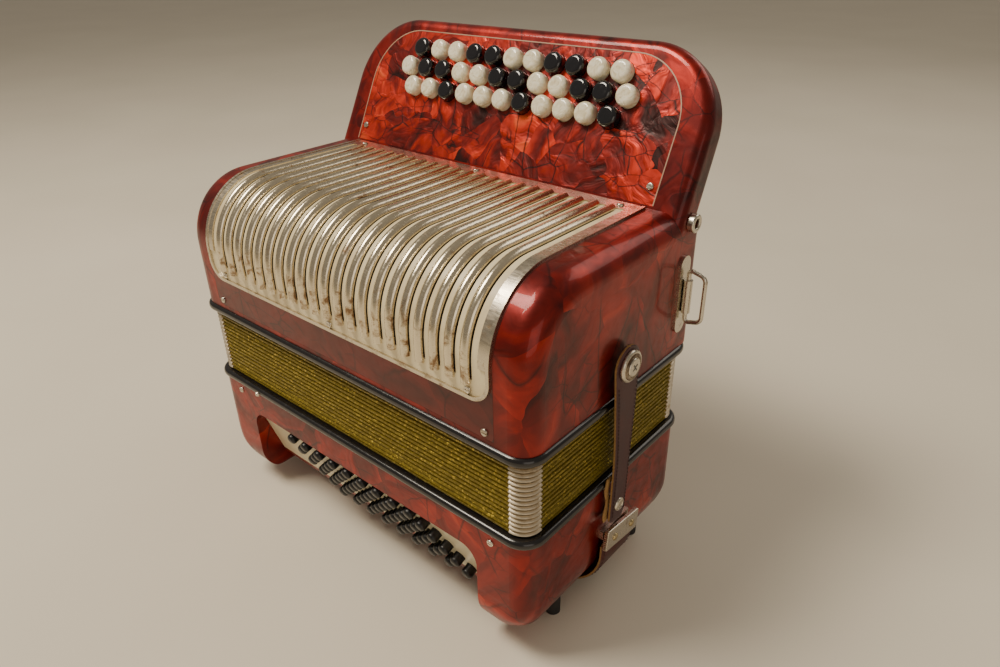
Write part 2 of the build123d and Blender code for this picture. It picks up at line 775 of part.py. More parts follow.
cover_screws = [(x, cover_low_z + 4.5, 0) for x in (-cover_screw_x, cover_screw_x)]
top_screw_y = cover_back_y - back_strip_depth / 2
frame_screws = [(x, plate_low_z + 2.9, 0) for x in (-frame_screw_x, 0, frame_screw_x)]
with BuildPart() as treble_fasteners:
    with Locations(front_low):
        with Locations(*cover_screws, *frame_screws):
            add(screw_head.part)
    with Locations(board):
        with Locations(*[(side * panel_screw[0], panel_screw[1], 0) for side in (-1, 1)]):
            add(screw_head.part)
    with Locations(Plane.XY.offset(treble_top_z + border_proud)):
        with Locations(*[(x, top_screw_y, 0) for x in (-top_screw_x, 0, top_screw_x)]):
            add(screw_head.part)
    for stud in (end_stud, strap_stud):
        for piece in on_both_ends(stud.part):
            add(piece)
write(treble_fasteners.part, "treble_fasteners")

with BuildPart() as snap_stud:
    with BuildSketch(Plane.YZ.offset(half_length)):
        with Locations((strap_y + body_mid_y, strap_snap_z)):
            Circle(snap_stud_r)
    extrude(amount=strap_inner_x - 0.5 - half_length)
with BuildPart() as bass_fasteners:
    with Locations(front_low):
        with Locations(*[(side * bass_screw[0], bass_screw[1], 0) for side in (-1, 1)]):
            add(screw_head.part)
    for piece in on_both_ends(snap_stud.part):
        add(piece)
write(bass_fasteners.part, "bass_fasteners")
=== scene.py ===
import json
import random
from math import cos, hypot, pi, radians, sin, sqrt

import bpy
from mathutils import Matrix, Vector


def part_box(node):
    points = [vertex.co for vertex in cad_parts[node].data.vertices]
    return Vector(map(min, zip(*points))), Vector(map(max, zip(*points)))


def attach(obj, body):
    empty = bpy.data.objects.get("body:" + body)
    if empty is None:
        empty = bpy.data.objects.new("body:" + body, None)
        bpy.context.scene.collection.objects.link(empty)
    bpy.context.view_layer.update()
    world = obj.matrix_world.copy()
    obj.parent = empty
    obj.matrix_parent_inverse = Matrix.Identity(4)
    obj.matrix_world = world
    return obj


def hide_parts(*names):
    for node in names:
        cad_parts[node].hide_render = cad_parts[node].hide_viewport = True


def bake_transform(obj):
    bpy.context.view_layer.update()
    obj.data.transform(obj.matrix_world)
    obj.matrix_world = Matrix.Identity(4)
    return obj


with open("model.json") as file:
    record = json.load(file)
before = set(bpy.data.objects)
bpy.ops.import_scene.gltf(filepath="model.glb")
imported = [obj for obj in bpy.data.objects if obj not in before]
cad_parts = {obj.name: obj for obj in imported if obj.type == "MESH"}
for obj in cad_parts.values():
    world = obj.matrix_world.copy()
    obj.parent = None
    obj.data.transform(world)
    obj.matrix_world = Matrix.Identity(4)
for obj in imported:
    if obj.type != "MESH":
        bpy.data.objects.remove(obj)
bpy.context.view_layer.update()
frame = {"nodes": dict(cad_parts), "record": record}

# Places that the model's own frame gives, in metres
BELLOWS_LOW, BELLOWS_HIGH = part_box("bellows")
BELLOWS_MID_Y = (BELLOWS_LOW[1] + BELLOWS_HIGH[1]) / 2
STRAP_LOW, STRAP_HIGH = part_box("bellows_strap_right")
STRAP_Y = (STRAP_LOW[1] + STRAP_HIGH[1]) / 2
STUD_R = (STRAP_HIGH[1] - STRAP_LOW[1]) / 2
STUD_Z = STRAP_HIGH[2] - STUD_R
STRAP_LEATHER_DEPTH = 0.0032
STRAP_BOW = 0.0011
COVER_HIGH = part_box("grille_cover")[1]
PANEL_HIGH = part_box("button_panel")[1]
HAND_LOW, HAND_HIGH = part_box("bass_strap")
HAND_Y = (HAND_LOW[1] + HAND_HIGH[1]) / 2
FRONT_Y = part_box("bass_casing")[0][1]

# Values that no box gives: the keyboard's lean and the treble casing's bend
BOARD_LEAN = radians(27.1)
BEND_R = 0.050


# ---------------------------------------------------------------- materials
class Graph:
    """A node material around one Principled shader, in the object's own coordinates."""

    def __init__(self, name, **sockets):
        self.material = bpy.data.materials.new(name)
        self.material.use_nodes = True
        self.tree = self.material.node_tree
        self.shader = self.tree.nodes["Principled BSDF"]
        for socket, value in sockets.items():
            self.shader.inputs[socket.replace("_", " ")].default_value = value
        self.place = self.add("ShaderNodeTexCoord").outputs["Object"]

    def add(self, kind, inputs=None, **settings):
        made = self.tree.nodes.new(kind)
        for key, value in settings.items():
            setattr(made, key, value)
        for key, value in (inputs or {}).items():
            if isinstance(value, bpy.types.NodeSocket):
                self.tree.links.new(value, made.inputs[key])
            else:
                made.inputs[key].default_value = value
        return made

    def noise(self, scale, detail=4.0, distortion=0.0, vector=None, roughness=0.5):
        made = self.add("ShaderNodeTexNoise", {
            "Vector": vector or self.place, "Scale": scale, "Detail": detail,
            "Distortion": distortion, "Roughness": roughness,
        })
        return made.outputs[0]

    def cells(self, scale, feature="F1", vector=None, output="Distance"):
        made = self.add(
            "ShaderNodeTexVoronoi", {"Vector": vector or self.place, "Scale": scale}, feature=feature
        )
        return made.outputs[output]

    def maths(self, operation, a, b=0.0, clamp=False):
        made = self.add("ShaderNodeMath", {0: a, 1: b}, operation=operation, use_clamp=clamp)
        return made.outputs[0]

    def spread(self, value, low, high, to_low=0.0, to_high=1.0):
        made = self.add("ShaderNodeMapRange", {
            "Value": value, "From Min": low, "From Max": high, "To Min": to_low, "To Max": to_high,
        }, clamp=True)
        return made.outputs[0]

    def mix(self, factor, a, b):
        made = self.add("ShaderNodeMix", data_type="RGBA")
        for index, value in ((0, factor), (6, a), (7, b)):
            if isinstance(value, bpy.types.NodeSocket):
                self.tree.links.new(value, made.inputs[index])
            elif index == 0:
                made.inputs[index].default_value = value
            else:
                made.inputs[index].default_value = (*value[:3], 1.0)
        return made.outputs[2]

    def ramp(self, value, stops):
        made = self.add("ShaderNodeValToRGB", {"Fac": value})
        ramp = made.color_ramp
        while len(ramp.elements) < len(stops):
            ramp.elements.new(0.5)
        for element, (position, colour) in zip(ramp.elements, stops):
            element.position = position
            element.color = (*colour, 1.0)
        return made.outputs["Color"]

    def stretch(self, scale, rotation=(0, 0, 0), vector=None):
        made = self.add("ShaderNodeMapping", {
            "Vector": vector or self.place, "Scale": scale, "Rotation": rotation,
        })
        return made.outputs[0]

    def warped(self, scale, amount):
        """The object's coordinates pushed about by a coloured noise."""
        push = self.add("ShaderNodeTexNoise", {"Vector": self.place, "Scale": scale, "Detail": 3.0})
        middle = {0: push.outputs[1], 1: (0.5, 0.5, 0.5)}
        centred = self.add("ShaderNodeVectorMath", middle, operation="SUBTRACT")
        scaled = self.add("ShaderNodeVectorMath", {0: centred.outputs[0], "Scale": amount}, operation="SCALE")
        return self.add("ShaderNodeVectorMath", {0: self.place, 1: scaled.outputs[0]}).outputs[0]

    def height(self, axis="Z"):
        split = self.add("ShaderNodeSeparateXYZ", {0: self.place})
        return split.outputs[axis]

    def out(self, colour=None, roughness=None, bump=None, strength=0.3, distance=0.0005, metallic=None):
        links = self.tree.links
        if colour is not None:
            links.new(colour, self.shader.inputs["Base Color"])
        if roughness is not None:
            links.new(roughness, self.shader.inputs["Roughness"])
        if metallic is not None:
            links.new(metallic, self.shader.inputs["Metallic"])
        if bump is not None:
            made = self.add("ShaderNodeBump", {"Height": bump, "Strength": strength, "Distance": distance})
            links.new(made.outputs[0], self.shader.inputs["Normal"])
        return self.material


def red_pearl(name, dark, mid, bright, glare, crackle, cell_scale, foil, shine, coat, patches):
    """Red celluloid: crushed foil flakes and dark crazing lines under a smooth clear coat.

    The four colours run from the darkest flake to the brightest. crackle is how dark the crazing is,
    foil how deep the foil's relief, shine how metallic it is, and patches how much flakes differ.
    """
    g = Graph(name, Coat_Weight=coat, Coat_Roughness=0.05, Specular_IOR_Level=0.4, Metallic=shine)
    place = g.warped(16.0, 0.04)
    flake = g.cells(cell_scale, vector=place, output="Color")
    parts = g.add("ShaderNodeSeparateColor", {0: flake})
    turn = g.maths("MULTIPLY", parts.outputs[1], 6.283)
    turned_place = g.add(
        "ShaderNodeVectorRotate", {"Vector": place, "Axis": (0.25, 1.0, 0.3), "Angle": turn},
        rotation_type="AXIS_ANGLE",
    ).outputs[0]
    grain = g.stretch((cell_scale * 2.4, cell_scale * 1.4, cell_scale * 0.5), vector=turned_place)
    streak = g.noise(1.0, 3.0, 0.7, grain)
    cloud = g.noise(cell_scale * 0.45, 3.0, 1.0)
    blend = g.maths("ADD", g.maths("MULTIPLY", parts.outputs[0], patches), g.maths("MULTIPLY", streak, 0.85))
    blend = g.maths("ADD", blend, g.maths("MULTIPLY", cloud, 0.45))
    blend = g.maths("SUBTRACT", blend, 0.23 + patches / 2)
    colour = g.ramp(blend, [(0.18, dark), (0.38, mid), (0.58, bright), (0.82, glare)])
    bent = g.warped(26.0, 0.012)
    wide = g.cells(cell_scale * 1.1, "DISTANCE_TO_EDGE", g.stretch((1.0, 1.0, 0.55), (0.3, 0.9, 0.2), bent))
    fine = g.cells(cell_scale * 2.4, "DISTANCE_TO_EDGE", g.stretch((0.6, 1.0, 1.1), (0.5, -0.7, 0.1), bent))
    wide_where = g.spread(g.noise(26.0, 2.0), 0.44, 0.54)
    fine_where = g.spread(g.noise(19.0, 2.0, 0.4), 0.5, 0.58)
    wide_part = g.maths("MULTIPLY", g.spread(wide, 0.0, 0.026, 1.0, 0.0), wide_where)
    fine_part = g.maths("MULTIPLY", g.spread(fine, 0.0, 0.034, 1.0, 0.0), fine_where)
    lines = g.maths("MULTIPLY", g.maths("MAXIMUM", wide_part, fine_part), crackle, True)
    colour = g.mix(lines, colour, (0.012, 0.002, 0.002))
    rough = g.spread(g.noise(160.0, 5.0), 0.3, 0.75, 0.3, 0.45)
    relief = g.maths("ADD", streak, g.maths("MULTIPLY", parts.outputs[2], 0.5))
    return g.out(colour, rough, relief, foil, 0.004)


def metal(name, base, tarnish, amount, rough_low=0.16, rough_high=0.42, worn_below=None, grain=0.12):
    """Plated metal, tarnished brown where the plating has worn; worn_below is a height in metres."""
    g = Graph(name, Metallic=1.0)
    spots = g.noise(95.0, 8.0, 0.5, roughness=0.68)
    if worn_below:
        spots = g.maths("ADD", spots, g.spread(g.height(), worn_below - 0.03, worn_below, 0.10, 0.0))
    stain = g.spread(spots, 0.62 - amount, 0.74 - amount * 0.6)
    colour = g.mix(stain, base, tarnish)
    scratch = g.noise(90.0, 6.0, 0.0, g.stretch((1, 9, 9), (0.2, 0.1, 0.6)))
    rough = g.spread(scratch, 0.3, 0.8, rough_low, rough_high)
    rough = g.maths("ADD", rough, g.maths("MULTIPLY", stain, 0.22))
    return g.out(colour, rough, g.maths("ADD", scratch, g.maths("MULTIPLY", stain, -1.5)), grain, 0.0002)


def cream(name, light, grime, amount):
    """Cream paint or celluloid with brown grime and small chips."""
    g = Graph(name, Coat_Weight=0.25, Coat_Roughness=0.2)
    cloud = g.noise(35.0, 5.0, 0.6)
    speck = g.noise(420.0, 6.0, 0.0, roughness=0.7)
    dirt = g.maths("MULTIPLY", g.spread(cloud, 0.45, 0.75), amount, True)
    chips = g.spread(speck, 0.68, 0.74)
    colour = g.mix(dirt, light, grime)
    colour = g.mix(g.maths("MULTIPLY", chips, amount), colour, (0.16, 0.09, 0.05))
    return g.out(colour, g.spread(cloud, 0.3, 0.7, 0.3, 0.5), speck, 0.1, 0.0003)


def black_gloss(name, roughness, tint=(0.012, 0.011, 0.014), coat=0.6):
    """Black plastic or lacquer with a little dust."""
    g = Graph(name, Coat_Weight=coat, Coat_Roughness=0.05)
    dust = g.noise(260.0, 6.0, 0.3, roughness=0.65)
    colour = g.mix(g.spread(dust, 0.6, 0.85, 0.0, 0.35), tint, (0.09, 0.085, 0.075))
    return g.out(colour, g.spread(dust, 0.45, 0.8, roughness, roughness + 0.12), dust, 0.02, 0.0001)


def pearl_button(name):
    """Cream mother-of-pearl plastic with soft swirls."""
    g = Graph(name, Coat_Weight=0.7, Coat_Roughness=0.05, Subsurface_Weight=0.08)
    g.shader.inputs["Subsurface Radius"].default_value = (0.004, 0.003, 0.002)
    swirl = g.noise(120.0, 3.0, 3.0)
    colour = g.ramp(swirl, [
        (0.25, (0.66, 0.57, 0.36)), (0.45, (0.86, 0.78, 0.56)), (0.6, (0.97, 0.91, 0.73)),
        (0.8, (0.74, 0.66, 0.46)),
    ])
    return g.out(colour, g.spread(swirl, 0.3, 0.7, 0.12, 0.24), g.noise(300.0, 3.0), 0.04, 0.0002)


def glitter_cloth(name):
    """Gold-olive bellows cloth: woven ground with bright specks."""
    g = Graph(name, Specular_IOR_Level=0.3)
    speck = g.cells(900.0, output="Color")
    value = g.add("ShaderNodeSeparateColor", {0: speck}).outputs[0]
    patch = g.noise(40.0, 4.0, 0.5)
    ground = g.ramp(value, [
        (0.0, (0.12, 0.084, 0.004)), (0.5, (0.175, 0.126, 0.005)), (0.9, (0.25, 0.185, 0.010)),
        (0.985, (0.65, 0.48, 0.08)),
    ])
    colour = g.mix(g.spread(patch, 0.35, 0.75, 0.0, 0.45), ground, (0.16, 0.112, 0.003))
    weave = g.noise(1500.0, 2.0)
    metallic = g.spread(value, 0.9, 0.985, 0.1, 0.8)
    return g.out(colour, g.spread(value, 0.0, 1.0, 0.62, 0.36), weave, 0.4, 0.0003, metallic)


def leather(name, base, light, grain=520.0):
    """Pored leather, lighter where it is rubbed."""
    g = Graph(name, Specular_IOR_Level=0.4)
    pores = g.cells(grain, "DISTANCE_TO_EDGE", g.warped(120.0, 0.002))
    cloud = g.noise(55.0, 5.0, 0.8)
    colour = g.mix(g.spread(cloud, 0.4, 0.8, 0.0, 0.8), base, light)
    rough = g.spread(cloud, 0.3, 0.8, 0.42, 0.62)
    return g.out(colour, rough, g.maths("ADD", pores, g.maths("MULTIPLY", cloud, 0.6)), 0.35, 0.0005)


def plain_rough(name, base, other, scale, roughness):
    """Matt material of two close colours: cloth, thread, rubber or wood."""
    g = Graph(name)
    grain = g.noise(scale, 6.0, 0.4, roughness=0.65)
    colour = g.mix(g.spread(grain, 0.35, 0.7), base, other)
    return g.out(colour, g.spread(grain, 0.2, 0.8, roughness - 0.08, roughness + 0.1), grain, 0.3, 0.0004)


PANEL_RED = red_pearl(
    "panel red pearl",
    (0.030, 0.002, 0.001), (0.20, 0.006, 0.003), (0.66, 0.034, 0.008), (1.0, 0.17, 0.04),
    crackle=1.0, cell_scale=34.0, foil=0.4, shine=0.45, coat=0.3, patches=0.26,
)
CASING_RED = red_pearl(
    "casing red pearl",
    (0.050, 0.002, 0.002), (0.16, 0.005, 0.003), (0.33, 0.013, 0.005), (0.66, 0.060, 0.015),
    crackle=0.7, cell_scale=24.0, foil=0.14, shine=0.6, coat=0.3, patches=0.12,
)
COVER_RED = red_pearl(
    "cover red pearl",
    (0.05, 0.004, 0.003), (0.11, 0.007, 0.005), (0.17, 0.010, 0.007), (0.26, 0.024, 0.012),
    crackle=0.6, cell_scale=22.0, foil=0.08, shine=0.3, coat=0.3, patches=0.10,
)
NICKEL = metal("worn nickel", (0.62, 0.57, 0.48), (0.24, 0.16, 0.10), 0.04)
BAR_NICKEL = metal(
    "worn bar nickel", (0.78, 0.69, 0.52), (0.28, 0.17, 0.09), 0.04, 0.14, 0.32, worn_below=0.250, grain=0.04
)
FRAME_NICKEL = metal("worn frame nickel", (0.66, 0.59, 0.47), (0.32, 0.22, 0.13), 0.09, 0.2, 0.42)
BRASS = metal("dull brass", (0.50, 0.40, 0.22), (0.25, 0.16, 0.07), 0.08)
# A darker nickel, used only for the groove on the strap studs' caps.
DARK_NICKEL = metal("dark nickel", (0.28, 0.22, 0.16), (0.10, 0.06, 0.04), 0.2)
GUARD = metal("guard nickel", (0.66, 0.57, 0.43), (0.45, 0.34, 0.20), 0.08, 0.42, 0.6)
CREAM_PAINT = cream("cream grille paint", (0.85, 0.73, 0.47), (0.50, 0.37, 0.20), 0.6)
CREAM_PLATE = cream("cream button plate", (0.80, 0.72, 0.50), (0.52, 0.42, 0.25), 0.4)
SEAM = cream("pale seam inlay", (0.50, 0.30, 0.20), (0.30, 0.12, 0.07), 0.6)
BLACK = black_gloss("gloss black trim", 0.2, (0.008, 0.007, 0.008), 0.3)
BASS_BLACK = black_gloss("satin black button", 0.36, (0.004, 0.004, 0.005), 0.0)
BLACK_BUTTON = black_gloss("gloss black button", 0.08, (0.006, 0.006, 0.009))
PEARL = pearl_button("pearl button")
CLOTH = glitter_cloth("gold glitter cloth")
STRAP_LEATHER = leather("dark strap leather", (0.055, 0.020, 0.024), (0.11, 0.045, 0.045))
HAND_LEATHER = leather("red brown leather", (0.055, 0.010, 0.009), (0.11, 0.022, 0.018))
TAN = plain_rough("tan leather edge", (0.42, 0.24, 0.08), (0.26, 0.13, 0.04), 700.0, 0.7)
THREAD = plain_rough("dark thread", (0.03, 0.014, 0.014), (0.07, 0.035, 0.03), 2500.0, 0.75)
# The bellows cloth darkened with painted shade, for the deep faces of the folds.
FOLD_SHADE_CLOTH = plain_rough("cloth with painted shade in the folds", (0.045, 0.030, 0.004), (0.075, 0.052, 0.006), 900.0, 0.85)
RUBBER = plain_rough("black rubber", (0.012, 0.012, 0.012), (0.03, 0.028, 0.026), 300.0, 0.7)
WOOD = plain_rough("spruce", (0.52, 0.35, 0.18), (0.36, 0.22, 0.10), 60.0, 0.6)
GAUZE = plain_rough("dark gauze", (0.02, 0.016, 0.012), (0.05, 0.04, 0.03), 1400.0, 0.85)

FINISHES = {
    "treble_casing": CASING_RED,
    "bass_casing": CASING_RED,
    "grille_cover": COVER_RED,
    "button_panel": PANEL_RED,
    "grille_plate": CREAM_PAINT,
    "grille_bars": BAR_NICKEL,
    "grille_frame": FRAME_NICKEL,
    "treble_fasteners": NICKEL,
    "bass_fasteners": NICKEL,
    "strap_bracket_plates": NICKEL,
    "d_ring_right": NICKEL,
    "d_ring_left": NICKEL,
    "bass_strap_clamps": NICKEL,
    "bass_button_plate": CREAM_PLATE,
    "bass_note_buttons": BASS_BLACK,
    "bass_chord_buttons": BASS_BLACK,
    "air_button": PEARL,
    "bass_feet": RUBBER,
    "treble_reed_blocks": WOOD,
    "bass_reed_blocks": WOOD,
    "treble_bellows_frame": BLACK,
    "bass_bellows_frame": BLACK,
}

# Each CAD node listed takes its finish; the treble buttons take pearl or black by their slot
for part in frame["record"]["subparts"]:
    name = part["node"]
    finish = FINISHES.get(name)
    if name.startswith("treble_button"):
        finish = PEARL if part["material_slot"] == "pearl_button" else BLACK_BUTTON
    if finish:
        for material_slot in frame["nodes"][name].material_slots:
            material_slot.material = finish


# ---------------------------------------------------------------- mesh helpers
def solid(name, vertices, faces, materials, marks=None, smooth=40):
    """A mesh piece from plain lists; marks gives each face its material's index."""
    mesh = bpy.data.meshes.new(name)
    mesh.from_pydata([tuple(v) for v in vertices], [], faces)
    for material in materials:
        mesh.materials.append(material)
    if marks:
        mesh.polygons.foreach_set("material_index", marks)
    mesh.polygons.foreach_set("use_smooth", [True] * len(mesh.polygons))
    mesh.validate()
    mesh.update()
    mesh.set_sharp_from_angle(angle=radians(smooth))
    piece = bpy.data.objects.new(name, mesh)
    bpy.context.scene.collection.objects.link(piece)
    return piece


def band(rows, closed=False):
    """Quads that join rows of equal length; closed also joins each row's ends."""
    width = len(rows[0])
    vertices = [v for row in rows for v in row]
    faces = []
    for i in range(len(rows) - 1):
        for j in range(width if closed else width - 1):
            k = (j + 1) % width
            faces.append((i * width + j, i * width + k, (i + 1) * width + k, (i + 1) * width + j))
    return vertices, faces


def strip(name, centres, sides, thickness, halves, body, materials, crown=0.0, across=6):
    """Leather strip along centres: sides point across it, halves are its half widths.

    materials are those of its faces and of its cut edges, and crown is how far its middle is raised.
    """
    rows = []
    for i, (centre, side, half) in enumerate(zip(centres, sides, halves)):
        ahead = centres[min(i + 1, len(centres) - 1)]
        behind = centres[max(i - 1, 0)]
        normal = side.cross((ahead - behind).normalized()).normalized()
        ring = []
        for j in range(across + 1):
            u = -1 + 2 * j / across
            lift = thickness / 2 + crown * (1 - u * u)
            edge = 0.25 * thickness if j in (0, across) else 0.0
            ring.append(centre + side * half * u + normal * (lift - edge))
        for j in range(across, -1, -1):
            u = -1 + 2 * j / across
            edge = 0.25 * thickness if j in (0, across) else 0.0
            ring.append(centre + side * half * u - normal * (thickness / 2 - edge))
        rows.append(ring)
    vertices, faces = band(rows, closed=True)
    marks = []
    for index in range(len(faces)):
        j = index % len(rows[0])
        marks.append(1 if j in (across, 2 * across + 1) else 0)
    width = len(rows[0])
    for start, flip in ((0, True), ((len(rows) - 1) * width, False)):
        loop = [start + j for j in range(width)]
        faces.append(tuple(reversed(loop)) if flip else tuple(loop))
        marks.append(1)
    piece = solid(name, vertices, faces, materials, marks)
    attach(piece, body)
    return piece


def stitches(name, points, normals, body, length=0.0021, radius=0.0003):
    """Short raised stitches along a line of points."""
    vertices, faces = [], []
    for i in range(len(points) - 1):
        along = (points[i + 1] - points[i]).normalized()
        middle = (points[i] + points[i + 1]) / 2
        normal = normals[i]
        side = along.cross(normal).normalized()
        first = len(vertices)
        for t, swell in ((-0.5, 0.35), (-0.3, 0.9), (0.3, 0.9), (0.5, 0.35)):
            ring_r = radius * swell
            for k in range(6):
                angle = pi * k / 3
                offset = side * cos(angle) * ring_r + normal * sin(angle) * ring_r
                vertices.append(middle + along * length * t + offset + normal * radius * 0.4)
        for level in range(3):
            for k in range(6):
                a, b = first + level * 6 + k, first + level * 6 + (k + 1) % 6
                faces.append((a, b, b + 6, a + 6))
        faces.append(tuple(first + k for k in reversed(range(6))))
        faces.append(tuple(first + 18 + k for k in range(6)))
    piece = solid(name, vertices, faces, [THREAD])
    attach(piece, body)
    return piece


def turned(name, profile, origin, axis, body, material, segments=32):
    """Surface of revolution: profile is (radius, distance along axis)."""
    axis = Vector(axis).normalized()
    first = axis.orthogonal().normalized()
    second = axis.cross(first)
    rows = []
    for radius, distance in profile:
        centre = Vector(origin) + axis * distance
        row = []
        for k in range(segments):
            angle = 2 * pi * k / segments
            row.append(centre + (first * cos(angle) + second * sin(angle)) * max(radius, 1e-5))
        rows.append(row)
    vertices, faces = band(rows, closed=True)
    faces.append(tuple(reversed(range(segments))))
    faces.append(tuple(range((len(rows) - 1) * segments, len(rows) * segments)))
    piece = solid(name, vertices, faces, [material])
    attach(piece, body)
    return piece


# ---------------------------------------------------------------- bellows
FOLDS = 16
FOLD_DEPTH = 0.0095
FOLD_PITCH = (BELLOWS_HIGH[2] - BELLOWS_LOW[2]) / FOLDS
HALF_X = BELLOWS_HIGH[0]
HALF_Y = (BELLOWS_HIGH[1] - BELLOWS_LOW[1]) / 2
CORNER_R = 0.013
CORNER_STEPS = 8
GUARD_ARM = 0.0016

# Each fold as (part of the pitch, inset from the outside)
FOLD_PROFILE = ((0.13, 0.0022), (0.26, 0.0004), (0.74, 0.0004), (0.87, 0.0022), (1.0, FOLD_DEPTH))
GUARD_PROFILE = (
    (0.03, 0.0022), (0.16, 0.0007), (0.34, -0.0002), (0.5, -0.0006),
    (0.66, -0.0002), (0.84, 0.0007), (0.97, 0.0022),
)


def corner_centre(quarter):
    """Centre of the rounding at one of the bellows' four corners, from the right back one on."""
    sign_x = 1 if quarter % 4 in (0, 3) else -1
    sign_y = 1 if quarter % 4 in (0, 1) else -1
    return sign_x * (HALF_X - CORNER_R), sign_y * (HALF_Y - CORNER_R)


def bellows_outline():
    """Each point round the bellows: its centre of rounding, its direction, and whether it is at a corner."""
    points = []
    for quarter in range(4):
        turn = quarter * pi / 2
        x, y = corner_centre(quarter)
        end_x, end_y = corner_centre(quarter + 1)
        for k in range(CORNER_STEPS + 1):
            points.append((x, y, turn + k * pi / 2 / CORNER_STEPS, True))
        steps = 40 if quarter in (0, 2) else 22
        for k in range(1, steps):
            t = k / steps
            points.append((x * (1 - t) + end_x * t, y * (1 - t) + end_y * t, turn + pi / 2, False))
    return points


def ride_bellows(piece):
    """Bakes the piece's place into its mesh; the piece spans from the bass side to the treble side."""
    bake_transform(piece)


def make_pleats():
    """Folded cloth, closed round the bellows, a little uneven away from the corners, with painted shade on
    the deep faces of the folds.
    """
    shake = random.Random(7)
    outline = bellows_outline()
    levels = [(0.0, FOLD_DEPTH)]
    for fold in range(FOLDS):
        levels += [(fold + part, inset) for part, inset in FOLD_PROFILE]
    rows = []
    for level, inset in levels:
        z = BELLOWS_LOW[2] + level * FOLD_PITCH
        row = []
        waver = shake.uniform(-0.00025, 0.00025)
        for x, y, angle, at_corner in outline:
            still = at_corner or inset > 0.004
            reach = CORNER_R - inset + (0 if still else waver)
            lift = 0.0 if still else shake.uniform(-0.00008, 0.00008)
            row.append(Vector((x + cos(angle) * reach, BELLOWS_MID_Y + y + sin(angle) * reach, z + lift)))
        rows.append(row)
    vertices, faces = band(rows, closed=True)
    width = len(outline)
    deep = [inset > 0.002 for _, inset in levels]
    # Faces deep in the folds take the darker cloth: painted shade in the creases.
    marks = [1 if deep[i // width] and deep[i // width + 1] else 0 for i in range(len(faces))]
    cloth = solid("bellows_pleats", vertices, faces, [CLOTH, FOLD_SHADE_CLOTH], marks, smooth=60)
    ride_bellows(cloth)
    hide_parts("bellows")


def guard_path(turn):
    """A corner guard's run round its corner: (sideways step, direction, how far out on an arm)."""
    before = Vector((sin(turn), -cos(turn), 0))
    after = Vector((-sin(turn + pi / 2), cos(turn + pi / 2), 0))
    path = [(before * GUARD_ARM * (k / 3), turn, k / 3) for k in (3, 2, 1)]
    path += [(Vector((0, 0, 0)), turn + k * pi / 2 / CORNER_STEPS, 0.0) for k in range(CORNER_STEPS + 1)]
    path += [(after * GUARD_ARM * (k / 3), turn + pi / 2, k / 3) for k in (1, 2, 3)]
    return path


def make_corner_guards():
    """Metal guards, one on each corner of each fold."""
    vertices, faces = [], []
    for fold in range(FOLDS):
        for quarter in range(4):
            x, y = corner_centre(quarter)
            path = guard_path(quarter * pi / 2)
            grid = []
            for part, inset in GUARD_PROFILE:
                z = BELLOWS_LOW[2] + (fold + part) * FOLD_PITCH
                centre = Vector((x, BELLOWS_MID_Y + y, z))
                row = []
                for side, angle, out in path:
                    turned_in = 0.00036 if out > 0.9 else 0.0
                    reach = CORNER_R - inset - turned_in
                    row.append(centre + side + Vector((cos(angle), sin(angle), 0)) * reach)
                grid.append(row)
            first = len(vertices)
            more, quads = band(grid)
            vertices.extend(more)
            faces.extend(tuple(first + i for i in quad) for quad in quads)
    guards = solid("bellows_corner_guards", vertices, faces, [GUARD], smooth=50)
    thick = guards.modifiers.new("sheet", "SOLIDIFY")
    thick.thickness = 0.0004
    thick.offset = -1
    ride_bellows(guards)


make_pleats()
make_corner_guards()


# ---------------------------------------------------------------- straps
STRAP_BOTTOM = STRAP_LOW[2]
STRAP_END_R = 0.003
STRAP_MID_X = STRAP_LOW[0] + STRAP_LEATHER_DEPTH / 2
STRAP_FINISHED_DEPTH = STRAP_LEATHER_DEPTH - 0.0004


def strap_half(z):
    """Half width of a bellows strap at height z."""
    if z > STUD_Z:
        return sqrt(max(STUD_R ** 2 - (z - STUD_Z) ** 2, 4e-7))
    narrow = 0.00925
    taper_length = 0.070
    t = min((STUD_Z - z) / taper_length, 1.0)
    return STUD_R + (narrow - STUD_R) * t


def strap_middle_x(z):
    """Distance from the model's middle to a bellows strap's, which bows out between stud and snap."""
    t = (STUD_Z - z) / (STUD_Z - STRAP_BOTTOM)
    return STRAP_MID_X + STRAP_BOW * sin(pi * min(max(t, 0), 1))


def make_strap_leather(body, sign):
    """A bellows strap's leather, round over the stud and with rounded corners at the snap."""
    heights = [STUD_Z + STUD_R * sin(pi / 2 * (1 - k / 10)) for k in range(10)]
    heights += [STUD_Z + (STRAP_BOTTOM - STUD_Z) * k / 40 for k in range(41)]
    centres, halves = [], []
    for z in heights:
        centres.append(Vector((sign * strap_middle_x(z), STRAP_Y, z)))
        half = strap_half(z)
        rise = (z - STRAP_BOTTOM) / STRAP_END_R
        if rise < 1:
            half -= STRAP_END_R * (1 - sqrt(max(1 - (1 - rise) ** 2, 0)))
        halves.append(half)
    strap = strip(
        f"{body}_leather", centres, [Vector((0, sign, 0))] * len(centres), STRAP_FINISHED_DEPTH, halves,
        body, [STRAP_LEATHER, TAN], crown=0.0003, across=8,
    )
    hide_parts(body)


def make_strap_stitching(body, sign):
    """A row of stitches along each edge of a bellows strap."""
    step = 0.0031
    edge_margin = 0.0021
    top = STUD_Z - 0.012
    count = int((top - STRAP_BOTTOM - STRAP_END_R) / step)
    for edge, word in ((-1, "front"), (1, "back")):
        line = []
        for k in range(count + 1):
            z = top - k * step
            x = strap_middle_x(z) + STRAP_FINISHED_DEPTH / 2 + 0.0001
            line.append(Vector((sign * x, STRAP_Y + edge * (strap_half(z) - edge_margin), z)))
        seam = stitches(f"{body}_stitching_{word}", line, [Vector((sign, 0, 0))] * len(line), body)


